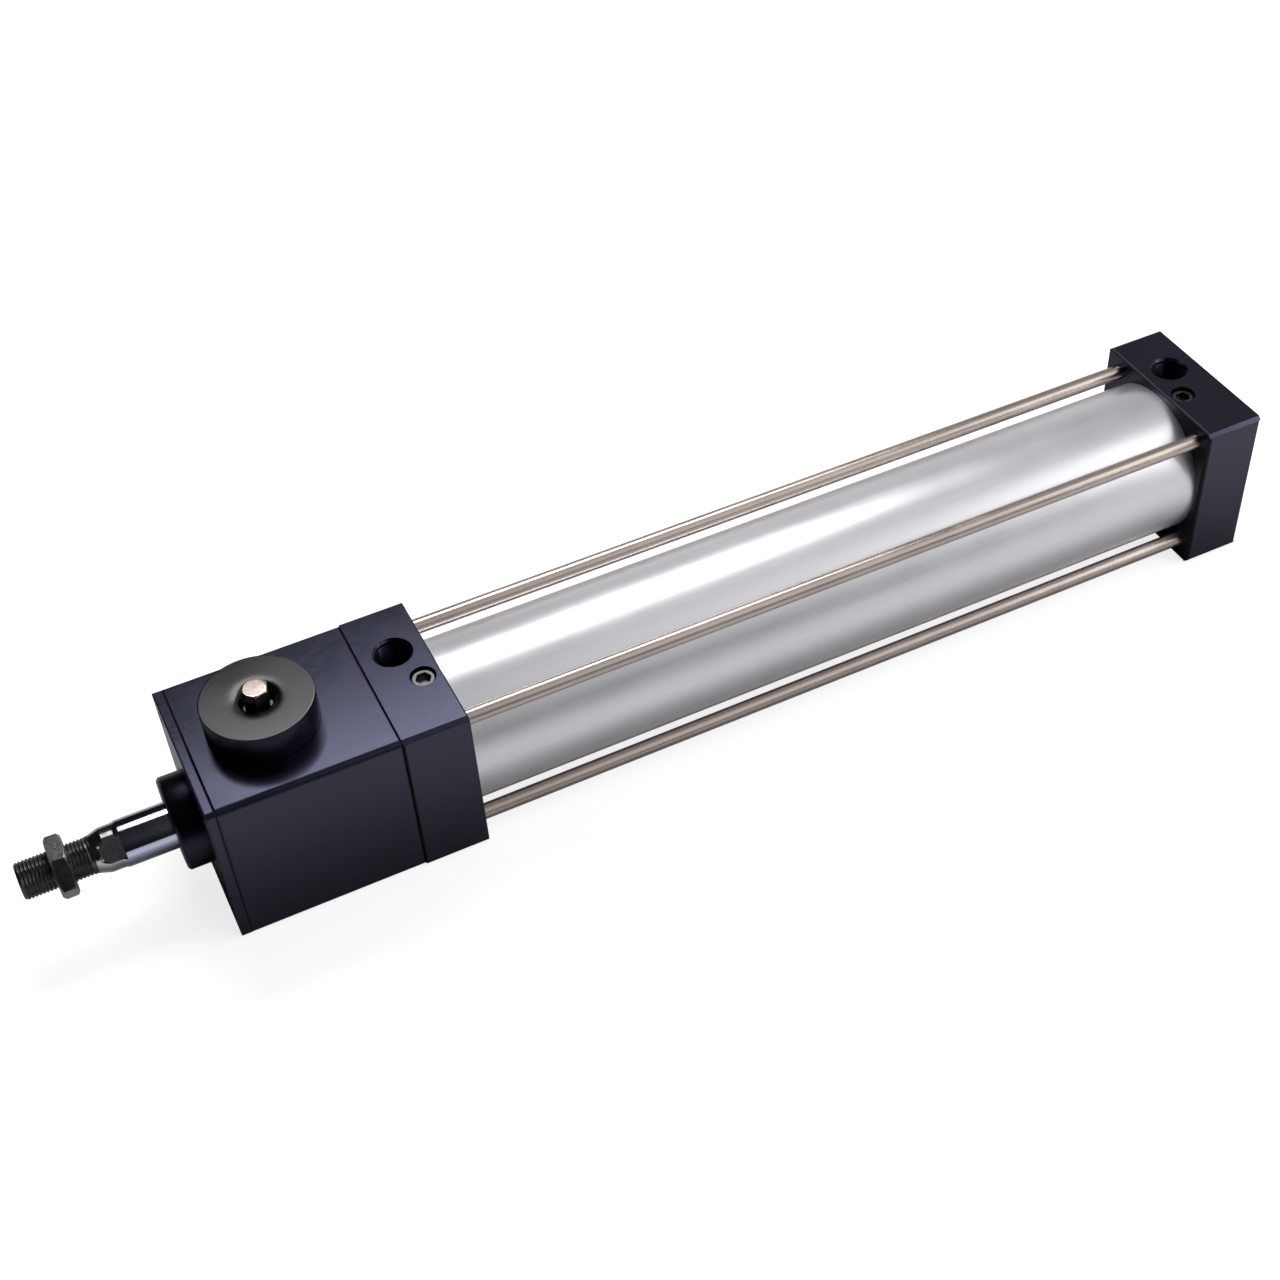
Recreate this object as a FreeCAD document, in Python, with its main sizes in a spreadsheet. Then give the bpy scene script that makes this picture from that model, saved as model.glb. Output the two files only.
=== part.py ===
import FreeCAD, Part
import os
import re
import Sketcher

# Air cylinder with tie rods and a spring-applied rod lock, at rest with its rod drawn in.
# Millimetres. The cylinder's axis is X and its rod points to -X, Y runs across it and Z up.
# The origin is on the axis, in the front face of the cover plate.

doc = FreeCAD.newDocument("AirCylinder")

# Driving sizes
SIZES = {
    # heads, lock body and cover plate
    "head_wall": 3, "lock_step": 0.4, "edge_cut": 1.7,
    "cover_thick": 4.5, "front_head_len": 28.5, "rear_head_len": 28,
    # stroke, tube and piston
    "stroke": 320, "stop_gap": 0.3, "cylinder_bore_r": 31.5, "tube_wall": 4,
    "tube_seat": 3, "spigot_len": 6, "gasket_thick": 0.6,
    "piston_len": 31.9, "piston_gap": 0.3, "piston_seal_len": 5, "piston_seal_deep": 4,
    "wear_ring_len": 8, "wear_ring_deep": 2, "ring_space": 5,
    # clearances
    "run_gap": 0.04, "seat_gap": 0.05, "open_gap": 0.3,
    # rod
    "rod_r": 10, "rod_out": 73.5, "thread_r": 8, "thread_len": 30, "cone_len": 5,
    "rod_neck_r": 9.5, "rod_neck_end": 33, "rod_neck_cone": 1.5,
    "rod_flats": 16, "rod_flat_len": 9.8, "rod_flat_end": 31.2, "rod_flat_turn": 40,
    "rod_shoulder": 3, "rod_tip_cut": 1,
    "jam_nut_flats": 24, "jam_nut_len": 7, "jam_nut_from_tip": 13.7, "nut_cut": 1.2,
    "nut_face_in": 0.15,
    "tail_nut_flats": 21, "tail_nut_len": 7,
    # gland with the pilot boss
    "boss_r": 20, "boss_out": 10.5, "boss_round": 1, "collar_step": 1,
    "gland_flange_len": 10.5, "gland_nose_len": 14.7, "nose_wall": 1,
    "bush_wall": 2, "bush_len": 26, "bush_in": 4.5,
    "rod_seal_wall": 4, "rod_seal_len": 4, "head_bush_len": 5,
    # lock body
    "lock_back_len": 13, "rod_clear": 0.6,
    "air_port_r": 5.7, "air_port_deep": 11, "air_port_from_rear": 7, "air_way_r": 1.75,
    "breather_r": 3, "breather_len": 4, "breather_x": 13, "breather_way_r": 1.2,
    # brake
    "brake_front_len": 8.4, "brake_room": 4, "brake_flange_len": 6, "brake_back_gap": 2,
    "brake_wall": 10.5, "brake_seal_len": 2.6, "brake_seal_deep": 2,
    "disc_spring_thick": 1.5, "disc_spring_room": 0.6,
    "shoe_len": 26, "shoe_wall": 3.96, "shoe_cut": 1, "shoe_split": 1.6, "shoe_room": 2,
    "lining_thick": 2,
    "roller_r": 4, "roller_len": 10, "roller_lift": 2.6, "roller_pitch": 12, "ramp_rise": 1.2,
    "roller_rest": 4.5,
    # release cap and cam
    "cam_x": 31.2, "cap_r": 23.25, "cap_high": 14, "cap_dish": 4.1, "cap_rim_wide": 0.7,
    "cap_spigot_r": 13, "cap_spigot_len": 4, "cam_shaft_r": 5.8, "cam_flange_r": 7.9,
    "cam_flange_len": 3.2, "cam_hex_flats": 10, "cam_hex_turn": 15, "cam_hex_sunk": 0.8,
    "cam_rise": 5.3, "cam_cut": 0.7,
    "cam_pin_r": 2.5, "cam_throw": 3, "cam_pin_in": 3.2, "cam_slot_half": 6.2, "cam_slot_len": 8.4,
    # tie rods and their nuts
    "tie_in": 9, "tie_r": 3.4, "tie_thread_r": 3.5, "tie_thread_len": 18, "tie_hole_gap": 0.2,
    "nut_len": 16, "nut_shank_r": 5, "nut_flange_r": 6.5, "nut_flange_len": 2, "nut_grip": 7,
    "nut_mouth_r": 3.35, "nut_slot_wide": 2, "nut_slot_deep": 1.5,
    # heads: ports, cushions and their needles
    "port_r": 7.5, "port_deep": 15, "port_cone": 1.1, "port_y": 11, "port_way_r": 4.5,
    "way_base": 7,
    "cushion_wall": 4, "cushion_gap": 0.3, "cushion_len": 18, "rear_sleeve_len": 14,
    "front_cushion_deep": 22.5, "rear_cushion_deep": 25,
    "cushion_seal_len": 4, "cushion_seal_deep": 2.6, "cushion_seal_in": 3,
    "needle_y": 7.7, "needle_from_tube": 8, "needle_hole_r": 5.5, "needle_head_r": 4.6,
    "needle_sunk": 1.4, "needle_well": 3.5, "needle_head_len": 4.5, "needle_neck_r": 3,
    "needle_neck_len": 9,
    "needle_tip_len": 3, "needle_socket": 6, "needle_socket_deep": 3, "needle_way_r": 1.5,
    "needle_side_r": 1.2,
}

# Shares of a hexagon's width across flats: to its corner, and half of one side
HEX_CORNER = 0.577350
HEX_HALF_SIDE = 0.288675

sizes = doc.addObject("Spreadsheet::Sheet", "Sizes")
for row, (name, value) in enumerate(SIZES.items(), 1):
    sizes.set("A%d" % row, name)
    sizes.set("B%d" % row, str(value))
    sizes.setAlias("B%d" % row, name)
doc.recompute()

# Distances from the axis, as sums of the sizes
HALF = "cylinder_bore_r + tube_wall + head_wall"
OUTSIDE = HALF + " + open_gap"
LOCK_HALF = HALF + " - lock_step"
CAP_RIM = LOCK_HALF + " + cap_high"
TIE = HALF + " - tie_in"
ROD_SEAL_R = "rod_r + rod_seal_wall"
ROD_TAIL_R = "rod_r - rod_shoulder"
NOSE_R = ROD_SEAL_R + " + nose_wall"
CUSHION_R = "rod_r + cushion_wall"
SHOE_R = "rod_r + run_gap + lining_thick + shoe_wall"
SHOE_FLAT = SHOE_R + " - shoe_cut"
ROLLER_Y = SHOE_FLAT + " + roller_lift"
BRAKE_BORE_R = SHOE_R + " + shoe_room"
CAVITY_R = BRAKE_BORE_R + " + brake_wall"

# Stations along the axis, as sums of the sizes
SHOES = "cover_thick + gland_flange_len + gland_nose_len + open_gap"
SHOES_END = SHOES + " + shoe_len"
ROLLERS = SHOES + " + shoe_len / 2 - roller_pitch / 2"
BRAKE = SHOES + " - brake_front_len"
BRAKE_FLANGE = SHOES_END + " + brake_room"
CAVITY_END = BRAKE_FLANGE + " + brake_flange_len + brake_back_gap"
HEAD = CAVITY_END + " + lock_back_len"
TUBE_FACE = HEAD + " + front_head_len"
FRONT_SPIGOT = TUBE_FACE + " + spigot_len - tube_seat"
PISTON = FRONT_SPIGOT + " + stroke + stop_gap"
PISTON_BACK = PISTON + " + piston_len"
REAR_SPIGOT = PISTON_BACK + " + stop_gap"
REAR = REAR_SPIGOT + " + spigot_len - tube_seat"
REAR_FACE = REAR + " + rear_head_len"


def number(text):
    """The value of a sum of sizes and plain numbers, such as rod_r * 2 + run_gap."""
    total = 0.0
    for sign, term in re.findall(r"([+-]?)\s*([^+\-\s][^+\-]*)", str(text)):
        value = 1.0
        for step, factor in re.findall(r"([*/]?)\s*([\w.]+)", term):
            amount = float(factor) if factor[0].isdigit() else float(sizes.get(factor))
            value = value / amount if step == "/" else value * amount
        total += -value if sign == "-" else value
    return total


def bound(text):
    """The same sum as an expression of the sheet's cells."""
    return re.sub(r"[a-z]\w*", lambda word: "Sizes." + word.group(0), str(text))


def less(text, taken):
    """The first sum less the second."""
    turned = re.sub(r"[+-]", lambda sign: "-" if sign.group(0) == "+" else "+", str(taken))
    return str(text) + " - " + turned


def minus(text):
    return less("0", text)


def new_body(label, along="0", across="0", up="0"):
    body = doc.addObject("PartDesign::Body", "Body_" + label)
    body.Label = label
    for letter, text in (("x", along), ("y", across), ("z", up)):
        body.setExpression("Placement.Base." + letter, bound(text))
    return body


def new_sketch(body, name, plane, shift=("0", "0", "0"), degrees=0):
    """A sketch on one of the body's origin planes. shift is in the sketch's own axes."""
    sketch = body.newObject("Sketcher::SketchObject", body.Label + "_" + name)
    base = [item for item in body.Origin.OriginFeatures if item.Role == plane][0]
    sketch.AttachmentSupport = [(base, "")]
    sketch.MapMode = "FlatFace"
    place = FreeCAD.Vector(*[number(text) for text in shift])
    sketch.AttachmentOffset = FreeCAD.Placement(place, FreeCAD.Rotation(FreeCAD.Vector(0, 0, 1), degrees))
    for letter, text in zip("xyz", shift):
        sketch.setExpression("AttachmentOffset.Base." + letter, bound(text))
    return sketch


def fix_size(sketch, kind, places, text):
    index = sketch.addConstraint(Sketcher.Constraint(kind, *places, number(text)))
    sketch.setExpression("Constraints[%d]" % index, bound(text))


def draw_outline(sketch, points):
    """A closed outline whose corners are sums of the sizes."""
    corners = [FreeCAD.Vector(number(across), number(up), 0) for across, up in points]
    first = sketch.GeometryCount
    for start, end in zip(corners, corners[1:] + corners[:1]):
        sketch.addGeometry(Part.LineSegment(start, end), False)
    for index, (across, up) in enumerate(points):
        line = first + index
        before = first + (index - 1) % len(points)
        sketch.addConstraint(Sketcher.Constraint("Coincident", before, 2, line, 1))
        fix_size(sketch, "DistanceX", (-1, 1, line, 1), across)
        fix_size(sketch, "DistanceY", (-1, 1, line, 1), up)


def draw_circle(sketch, across, up, radius):
    centre = FreeCAD.Vector(number(across), number(up), 0)
    circle = sketch.addGeometry(Part.Circle(centre, FreeCAD.Vector(0, 0, 1), number(radius)), False)
    fix_size(sketch, "DistanceX", (-1, 1, circle, 3), across)
    fix_size(sketch, "DistanceY", (-1, 1, circle, 3), up)
    fix_size(sketch, "Radius", (circle,), radius)


def turn(body, name, points):
    """A piece turned about X. Each corner is a place along X and a radius."""
    sketch = new_sketch(body, name, "XY_Plane")
    draw_outline(sketch, points)
    solid = body.newObject("PartDesign::Revolution", body.Label + "_" + name + "_turned")
    solid.Profile = sketch
    solid.ReferenceAxis = (sketch, ["H_Axis"])
    solid.Angle = 360
    return solid


def bore(body, name, points):
    """A stepped hole about X. Each corner is a place along X and a radius."""
    sketch = new_sketch(body, name, "XY_Plane")
    draw_outline(sketch, points)
    cut = body.newObject("PartDesign::Groove", body.Label + "_" + name + "_bore")
    cut.Profile = sketch
    cut.ReferenceAxis = (sketch, ["H_Axis"])
    cut.Angle = 360
    return cut


def sink(body, name, along, across, points):
    """A stepped hole about a vertical axis. Each corner is a radius and a height."""
    sketch = new_sketch(body, name, "XZ_Plane", (along, "0", minus(across)))
    draw_outline(sketch, points)
    cut = body.newObject("PartDesign::Groove", body.Label + "_" + name + "_sunk")
    cut.Profile = sketch
    cut.ReferenceAxis = (sketch, ["V_Axis"])
    cut.Angle = 360
    return cut


def side_sink(body, name, along, points):
    """A stepped hole about an axis along Y. Each corner is a radius and a place along Y."""
    sketch = new_sketch(body, name, "XY_Plane", (along, "0", "0"))
    draw_outline(sketch, points)
    cut = body.newObject("PartDesign::Groove", body.Label + "_" + name + "_sunk")
    cut.Profile = sketch
    cut.ReferenceAxis = (sketch, ["V_Axis"])
    cut.Angle = 360
    return cut


def pad(body, sketch, length, both_ways=False):
    solid = body.newObject("PartDesign::Pad", sketch.Label + "_pad")
    solid.Profile = sketch
    solid.setExpression("Length", bound(length))
    solid.Midplane = both_ways
    return solid


def pocket(body, sketch, length=None, both_ways=False, against=False):
    """Cuts along the sketch's normal, against it or half each way; with no length, right through."""
    cut = body.newObject("PartDesign::Pocket", sketch.Label + "_pocket")
    cut.Profile = sketch
    cut.Reversed = not (both_ways or against)
    cut.Midplane = both_ways
    if length is None:
        cut.Type = "ThroughAll"
    else:
        cut.setExpression("Length", bound(length))
    return cut


def square_outline(half):
    """A square about the axis with its four corners cut at 45 degrees. half is half its width."""
    short = half + " - edge_cut"
    turned = [(half, short), (short, half), (minus(short), half), (minus(half), short)]
    return turned + [(minus(across), minus(up)) for across, up in turned]


def hex_outline(flats):
    """A hexagon across whose flats the width is flats, with a flat upwards."""
    half = flats + " / 2"
    corner = "%s * %s" % (flats, HEX_CORNER)
    side = "%s * %s" % (flats, HEX_HALF_SIDE)
    return [(corner, "0"), (side, half), (minus(side), half),
            (minus(corner), "0"), (minus(side), minus(half)), (side, minus(half))]


def corner_circles(sketch, radius):
    for across in (TIE, minus(TIE)):
        for up in (TIE, minus(TIE)):
            draw_circle(sketch, across, up, radius)


def turn_up(body, name, points):
    """A piece turned about its vertical axis. Each corner is a radius and a height."""
    sketch = new_sketch(body, name, "XZ_Plane")
    draw_outline(sketch, points)
    solid = body.newObject("PartDesign::Revolution", body.Label + "_" + name + "_turned")
    solid.Profile = sketch
    solid.ReferenceAxis = (sketch, ["V_Axis"])
    solid.Angle = 360
    return solid


def rings(body, *sections):
    """Plain rings about X, each given by its start, length, inner and outer radius."""
    sketch = new_sketch(body, "sections", "XY_Plane")
    for start, length, inner, outer in sections:
        end = start + " + " + length
        draw_outline(sketch, [(start, inner), (start, outer), (end, outer), (end, inner)])
    solid = body.newObject("PartDesign::Revolution", body.Label + "_turned")
    solid.Profile = sketch
    solid.ReferenceAxis = (sketch, ["H_Axis"])
    solid.Angle = 360


def hex_trim(body, name, flats, outer, start, length, plane="YZ_Plane", degrees=0):
    """Cuts what lies outside a hexagon off a turned head."""
    sketch = new_sketch(body, name, plane, ("0", "0", start), degrees)
    draw_outline(sketch, hex_outline(flats))
    draw_circle(sketch, "0", "0", outer)
    pocket(body, sketch, length)


# Cover plate in front of the lock

def make_front_cover():
    body = new_body("front_cover")
    plate = new_sketch(body, "plate", "YZ_Plane")
    draw_outline(plate, square_outline(LOCK_HALF))
    draw_circle(plate, "0", "0", "boss_r + collar_step + seat_gap")
    corner_circles(plate, "nut_shank_r + seat_gap")
    pad(body, plate, "cover_thick")
    seats = new_sketch(body, "nut_seats", "YZ_Plane")
    corner_circles(seats, "nut_flange_r + seat_gap")
    pocket(body, seats, "nut_flange_len")


# Gland: the pilot boss, the flange behind the cover and the nose that the shoes bear on

def make_rod_gland():
    body = new_body("rod_gland")
    flange = "cover_thick + gland_flange_len"
    nose = flange + " + gland_nose_len"
    bush_end = nose + " - bush_in"
    bush_start = bush_end + " - bush_len"
    seat = "rod_r + run_gap + bush_wall"
    free = "rod_r + rod_clear"
    turn(body, "gland", [
        (minus("boss_out"), ROD_SEAL_R), (minus("boss_out"), "boss_r - boss_round"),
        (minus("boss_out - boss_round"), "boss_r"), ("0", "boss_r"),
        ("0", "boss_r + collar_step"), ("cover_thick", "boss_r + collar_step"),
        ("cover_thick", CAVITY_R + " - seat_gap"), (flange, CAVITY_R + " - seat_gap"),
        (flange, NOSE_R), (nose, NOSE_R), (nose, free), (bush_end, free),
        (bush_end, seat), (bush_start, seat), (bush_start, free),
        (minus("boss_out - rod_seal_len"), free), (minus("boss_out - rod_seal_len"), ROD_SEAL_R)])


# Lock body: one bored block with the brake's cavity, cam hole, air port and breather hole

def make_lock_body():
    body = new_body("lock_body", "cover_thick")
    block = new_sketch(body, "block", "YZ_Plane")
    draw_outline(block, square_outline(LOCK_HALF))
    corner_circles(block, "tie_r + tie_hole_gap")
    length = less(HEAD, "cover_thick")
    pad(body, block, length)
    cavity = less(CAVITY_END, "cover_thick")
    boss = less(SHOES_END, "cover_thick") + " + open_gap"
    free = "rod_r + rod_clear"
    recess = length + " - rod_seal_len"
    bore(body, "cavity", [
        ("0", "0"), ("0", CAVITY_R), (cavity, CAVITY_R), (cavity, NOSE_R),
        (boss, NOSE_R), (boss, free), (recess, free), (recess, ROD_SEAL_R),
        (length, ROD_SEAL_R), (length, "0")])
    seats = new_sketch(body, "nut_bores", "YZ_Plane")
    corner_circles(seats, "nut_shank_r + seat_gap")
    pocket(body, seats, "nut_len - cover_thick + open_gap")
    sweep = "cam_pin_r + cam_throw + open_gap"
    spigot = LOCK_HALF + " - cap_spigot_len"
    shoulder = spigot + " - cam_flange_len - run_gap * 2"
    sink(body, "cam_hole", "cam_x", "0", [
        ("0", BRAKE_BORE_R), (sweep, BRAKE_BORE_R),
        (sweep, shoulder), ("cam_flange_r + run_gap", shoulder),
        ("cam_flange_r + run_gap", spigot), ("cap_spigot_r", spigot),
        ("cap_spigot_r", OUTSIDE), ("0", OUTSIDE)])
    port = length + " - air_port_from_rear"
    side_sink(body, "air_port", port, [
        ("0", LOCK_HALF + " - air_port_deep - air_way_r"),
        ("air_port_r", LOCK_HALF + " - air_port_deep"),
        ("air_port_r", LOCK_HALF + " - port_cone"), ("air_port_r + port_cone", LOCK_HALF),
        ("air_port_r + port_cone", OUTSIDE), ("0", OUTSIDE)])
    way = new_sketch(body, "air_way", "YZ_Plane", ("0", "0", cavity + " - run_gap"))
    draw_circle(way, CAVITY_R + " - air_way_r - open_gap", "0", "air_way_r")
    pocket(body, way, less(port, cavity))
    side_sink(body, "breather_hole", "breather_x", [
        ("0", CAVITY_R + " - breather_len"), ("breather_way_r", CAVITY_R + " - breather_len"),
        ("breather_way_r", LOCK_HALF + " - breather_len"),
        ("breather_r", LOCK_HALF + " - breather_len"), ("breather_r", OUTSIDE), ("0", OUTSIDE)])


def make_lock_breather():
    body = new_body("lock_breather", "cover_thick + breather_x", LOCK_HALF + " - breather_len")
    disc = new_sketch(body, "plug", "XZ_Plane", ("0", "0", "0"))
    draw_circle(disc, "0", "0", "breather_r")
    solid = pad(body, disc, "breather_len")
    solid.Reversed = True


# Brake: a sliding piston whose ramps press rollers and two shoes on the rod

def make_brake_piston():
    body = new_body("brake_piston", BRAKE)
    outer = CAVITY_R + " - run_gap"
    inner = NOSE_R + " + run_gap"
    flange = less(BRAKE_FLANGE, BRAKE)
    length = flange + " + brake_flange_len"
    seal = flange + " + brake_flange_len / 2 - brake_seal_len / 2"
    seal_end = seal + " + brake_seal_len"
    turn(body, "piston", [
        ("0", BRAKE_BORE_R), ("0", outer), (seal, outer), (seal, outer + " - brake_seal_deep"),
        (seal_end, outer + " - brake_seal_deep"), (seal_end, outer), (length, outer),
        (length, inner), (seal_end, inner), (seal_end, inner + " + brake_seal_deep"),
        (seal, inner + " + brake_seal_deep"), (seal, inner), (flange, inner),
        (flange, BRAKE_BORE_R)])
    start = less(ROLLERS, BRAKE + " + roller_rest")
    low = ROLLER_Y + " + roller_r + seat_gap - ramp_rise * roller_rest / roller_pitch"
    for name, side in (("near", minus), ("far", str)):
        ramps = new_sketch(body, name + "_ramps", "XY_Plane")
        draw_outline(ramps, [
            (start, side(SHOE_FLAT)), (start, side(low)),
            (start + " + roller_pitch", side(low + " + ramp_rise")),
            (start + " + roller_pitch", side(low)),
            (start + " + roller_pitch * 2", side(low + " + ramp_rise")),
            (start + " + roller_pitch * 2", side(SHOE_FLAT))])
        pocket(body, ramps, "roller_len + open_gap * 2", both_ways=True)
    slot = new_sketch(body, "cam_slot", "XY_Plane",
                      ("0", "0", CAVITY_R + " - cam_pin_in - open_gap"))
    front = less("cover_thick + cam_x + cam_throw - cam_pin_r - run_gap * 2", BRAKE)
    draw_outline(slot, [
        (front, minus("cam_slot_half")), (front + " + cam_slot_len", minus("cam_slot_half")),
        (front + " + cam_slot_len", "cam_slot_half"), (front, "cam_slot_half")])
    pocket(body, slot, CAVITY_R)


def make_brake_seals():
    start = BRAKE_FLANGE + " + brake_flange_len / 2 - brake_seal_len / 2"
    outer = CAVITY_R + " - run_gap"
    inner = NOSE_R + " + run_gap"
    rings(new_body("brake_piston_seal", start),
          ("0", "brake_seal_len", outer + " - brake_seal_deep", outer))
    rings(new_body("brake_inner_seal", start),
          ("0", "brake_seal_len", inner, inner + " + brake_seal_deep"))


def make_disc_springs():
    """Two coned washers whose inner edges meet, from the gland's flange to the brake piston."""
    body = new_body("disc_springs", "cover_thick + gland_flange_len")
    high = "gland_nose_len / 2 + open_gap / 2 - brake_front_len / 2 - run_gap / 2"
    wide = CAVITY_R + " - disc_spring_room"
    narrow = NOSE_R + " + disc_spring_room"
    turn(body, "front_washer", [
        ("0", wide), ("disc_spring_thick", wide),
        (high, narrow), (high + " - disc_spring_thick", narrow)])
    far = high + " + " + high
    turn(body, "rear_washer", [
        (high + " + disc_spring_thick", narrow), (high, narrow),
        (less(far, "disc_spring_thick"), wide), (far, wide)])


# Brake shoes with their linings and rollers

def cut_half(body, toward, away):
    """Leaves the half of a ring on one side, short of the split between the two halves."""
    sketch = new_sketch(body, "half", "YZ_Plane")
    draw_outline(sketch, [
        (away(HALF), minus(HALF)), (away(HALF), HALF),
        (toward("shoe_split / 2"), HALF), (toward("shoe_split / 2"), minus(HALF))])
    pocket(body, sketch)


def make_shoe(side):
    toward, away = (minus, str) if side == "near" else (str, minus)
    along = ("shoe_len / 2 - roller_pitch / 2", "shoe_len / 2 + roller_pitch / 2")
    shoe = new_body(side + "_brake_shoe", SHOES)
    rings(shoe, ("0", "shoe_len", "rod_r + run_gap + lining_thick", SHOE_R))
    cut_half(shoe, toward, away)
    flat = new_sketch(shoe, "flat", "YZ_Plane")
    draw_outline(flat, [
        (toward(SHOE_FLAT), minus(SHOE_R)), (toward(HALF), minus(SHOE_R)),
        (toward(HALF), SHOE_R), (toward(SHOE_FLAT), SHOE_R)])
    pocket(shoe, flat)
    seats = new_sketch(shoe, "roller_seats", "XY_Plane")
    for place in along:
        draw_circle(seats, place, toward(ROLLER_Y), "roller_r + seat_gap")
    pocket(shoe, seats, HALF, both_ways=True)

    lining = new_body(side + "_brake_lining", SHOES)
    rings(lining, ("0", "shoe_len", "rod_r + run_gap", "rod_r + run_gap + lining_thick"))
    cut_half(lining, toward, away)

    rollers = new_body(side + "_brake_rollers", SHOES)
    rounds = new_sketch(rollers, "rounds", "XY_Plane")
    for place in along:
        draw_circle(rounds, place, toward(ROLLER_Y), "roller_r")
    pad(rollers, rounds, "roller_len", both_ways=True)


# Hand release on top: a dished cap and a hexagon spindle with an eccentric pin

def make_release_cap():
    body = new_body("release_cap", "cover_thick + cam_x")
    spigot = LOCK_HALF + " - cap_spigot_len"
    hole = "cam_shaft_r + run_gap"
    turn_up(body, "cap", [
        (hole, spigot), ("cap_spigot_r", spigot), ("cap_spigot_r", LOCK_HALF),
        ("cap_r", LOCK_HALF), ("cap_r", CAP_RIM), ("cap_r - cap_rim_wide", CAP_RIM),
        (hole, CAP_RIM + " - cap_dish")])


def make_release_cam():
    body = new_body("release_cam", "cover_thick + cam_x")
    flange_top = LOCK_HALF + " - cap_spigot_len - run_gap"
    flange_base = flange_top + " - cam_flange_len"
    corner = "cam_hex_flats * %s" % HEX_CORNER
    floor = CAP_RIM + " - cap_dish - cam_hex_sunk"
    top = CAP_RIM + " + cam_rise"
    turn_up(body, "spindle", [
        ("0", flange_base), ("cam_flange_r", flange_base), ("cam_flange_r", flange_top),
        ("cam_shaft_r", flange_top), ("cam_shaft_r", floor), (corner, floor),
        (corner, top + " - cam_cut"), (corner + " - cam_cut * 2", top), ("0", top)])
    hex_trim(body, "hexagon", "cam_hex_flats", "cap_spigot_r", floor, CAP_RIM, "XY_Plane",
             number("cam_hex_turn"))
    tip = CAVITY_R + " - cam_pin_in"
    pin = new_sketch(body, "pin", "XY_Plane", ("0", "0", tip))
    draw_circle(pin, "cam_throw", "0", "cam_pin_r")
    pad(body, pin, less(flange_base, tip))


# Bushes and seals on the rod

def make_rod_guides():
    bush_end = "cover_thick + gland_flange_len + gland_nose_len - bush_in"
    head_bush = HEAD + " + rod_seal_len"
    seat = "rod_r + run_gap + bush_wall"
    rings(new_body("rod_bushes"),
          (less(bush_end, "bush_len"), "bush_len", "rod_r + run_gap", seat),
          (head_bush, "head_bush_len", "rod_r + run_gap", seat))
    rings(new_body("rod_scraper"),
          (minus("boss_out"), "rod_seal_len", "rod_r + run_gap", ROD_SEAL_R))
    rings(new_body("lock_rod_seal"),
          (less(HEAD, "rod_seal_len"), "rod_seal_len", "rod_r + run_gap", ROD_SEAL_R))
    rings(new_body("head_rod_seal"), (HEAD, "rod_seal_len", "rod_r + run_gap", ROD_SEAL_R))


# Heads: each one block with a spigot, a cushion bore, a port and a needle hole

def make_head_block(body, length):
    block = new_sketch(body, "block", "YZ_Plane")
    draw_outline(block, square_outline(HALF))
    pad(body, block, length)


def head_openings(body, middle, needle, spigot_face, way_len, toward_front):
    """The port, needle hole and air way; spigot_face is where the way comes out."""
    top = HALF
    floor = top + " - port_deep"
    sink(body, "port", middle, "port_y", [
        ("0", "way_base"), ("port_way_r", "way_base"), ("port_way_r", floor),
        ("port_r", floor), ("port_r", top + " - port_cone"), ("port_r + port_cone", top),
        ("port_r + port_cone", OUTSIDE), ("0", OUTSIDE)])
    head_base = top + " - needle_sunk - needle_head_len - open_gap"
    neck_base = head_base + " - needle_neck_len"
    sink(body, "needle_hole", needle, minus("needle_y"), [
        ("0", "way_base"), ("needle_way_r", "way_base"), ("needle_way_r", neck_base),
        ("needle_neck_r + run_gap", neck_base), ("needle_neck_r + run_gap", head_base),
        ("needle_head_r + run_gap", head_base),
        ("needle_head_r + run_gap", top + " - needle_well"),
        ("needle_hole_r", top + " - needle_well"), ("needle_hole_r", OUTSIDE), ("0", OUTSIDE)])
    way = new_sketch(body, "needle_way", "YZ_Plane", ("0", "0", spigot_face))
    draw_circle(way, minus("needle_y"), neck_base + " + needle_way_r", "needle_side_r")
    pocket(body, way, way_len, against=not toward_front)


def make_front_head():
    body = new_body("front_head", HEAD)
    make_head_block(body, "front_head_len")
    recess = "front_head_len - tube_seat"
    end = recess + " + spigot_len"
    spigot = "cylinder_bore_r - seat_gap"
    turn(body, "spigot", [(recess, "0"), (recess, spigot), (end, spigot), (end, "0")])
    bore(body, "tube_recess", [
        (recess, spigot), (recess, "cylinder_bore_r + tube_wall + seat_gap"),
        (end, "cylinder_bore_r + tube_wall + seat_gap"), (end, spigot)])
    start = end + " - front_cushion_deep"
    groove = less(end, "cushion_seal_in + cushion_seal_len")
    wide = CUSHION_R + " + cushion_gap"
    seat = "rod_r + run_gap + bush_wall"
    bore(body, "rod_hole", [
        ("0", "0"), ("0", ROD_SEAL_R), ("rod_seal_len", ROD_SEAL_R), ("rod_seal_len", seat),
        (start, seat), (start, wide), (groove, wide), (groove, wide + " + cushion_seal_deep"),
        (groove + " + cushion_seal_len", wide + " + cushion_seal_deep"),
        (groove + " + cushion_seal_len", wide), (end, wide), (end, "0")])
    rods = new_sketch(body, "tie_holes", "YZ_Plane")
    corner_circles(rods, "tie_r + tie_hole_gap")
    pocket(body, rods)
    needle = "front_head_len - needle_from_tube"
    head_openings(body, "front_head_len / 2", needle, end, less(end, needle), False)


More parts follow.
